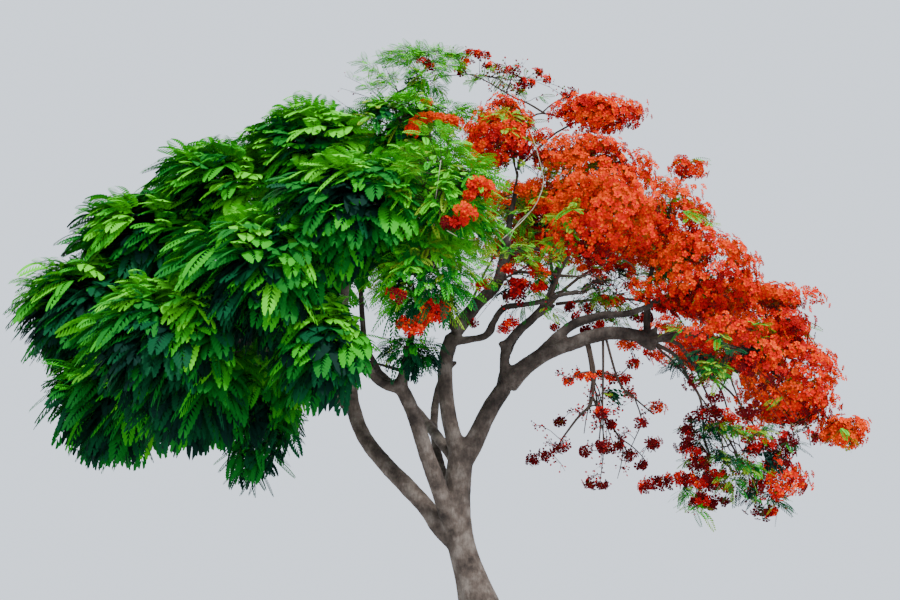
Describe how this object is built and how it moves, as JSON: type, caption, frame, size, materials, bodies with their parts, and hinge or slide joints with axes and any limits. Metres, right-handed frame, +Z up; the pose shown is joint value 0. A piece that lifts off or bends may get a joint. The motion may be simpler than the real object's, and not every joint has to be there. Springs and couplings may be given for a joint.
{
  "type": "flame tree",
  "caption": "Spreading flame tree, one half dense feathery green leaf and the other half open scarlet blossom, on a leaning forked trunk with a flat cut at ground level.",
  "frame": {"origin": "middle of the flat cut under the trunk, at ground level", "axes": "+Z up; +X towards the blossoming side; +Y away from the viewer who sees the leafy side on the left"},
  "size_m": [10.1994, 5.21, 7.6627],
  "materials": {
    "bark": "matte grey-brown bark",
    "foliage": "satin green leaf",
    "blossom": "matte scarlet petal"
  },
  "bodies": {
    "root": {"trunk": "bark", "bough_right": "bark", "bough_right_out": "bark", "bough_right_upright": "bark", "bough_right_upper": "bark", "bough_right_end": "bark", "bough_right_rise": "bark", "bough_back_right": "bark", "bough_centre": "bark", "bough_centre_slant": "bark", "bough_centre_top": "bark", "bough_crossing": "bark", "bough_left": "bark", "bough_left_out": "bark", "bough_left_in": "bark", "bough_far_left": "bark", "bough_far_left_out": "bark", "bough_far_left_up": "bark", "bough_top_arch": "bark", "bough_back": "bark", "bough_back_left": "bark", "leaves_far_left_low": "foliage", "leaves_far_left": "foliage", "leaves_upper_left": "foliage", "leaves_shoulder": "foliage", "leaves_top_left": "foliage", "leaves_front_left": "foliage", "leaves_front_mid": "foliage", "leaves_front_low": "foliage", "leaves_hanging": "foliage", "leaves_front_inner": "foliage", "leaves_front_upper": "foliage", "leaves_arch": "foliage", "leaves_top_centre": "foliage", "leaves_front_centre": "foliage", "leaves_centre_low": "foliage", "leaves_inner_spray": "foliage", "leaves_back_left": "foliage", "leaves_back_mid": "foliage", "leaves_back_top": "foliage", "bloom_arch": "blossom", "bloom_top": "blossom", "bloom_upper_left": "blossom", "bloom_upper_mid": "blossom", "bloom_ball": "blossom", "bloom_upper_right": "blossom", "bloom_shoulder": "blossom", "bloom_right": "blossom", "bloom_right_low": "blossom", "bloom_tip": "blossom", "bloom_low": "blossom", "bloom_hanging": "blossom", "bloom_middle": "blossom", "bloom_centre": "blossom", "bloom_front_right": "blossom", "bloom_front_low": "blossom", "bloom_back_right": "blossom", "bloom_back_mid": "blossom", "bloom_back_centre": "blossom", "bloom_inner": "blossom"}
  },
  "joints": []
}
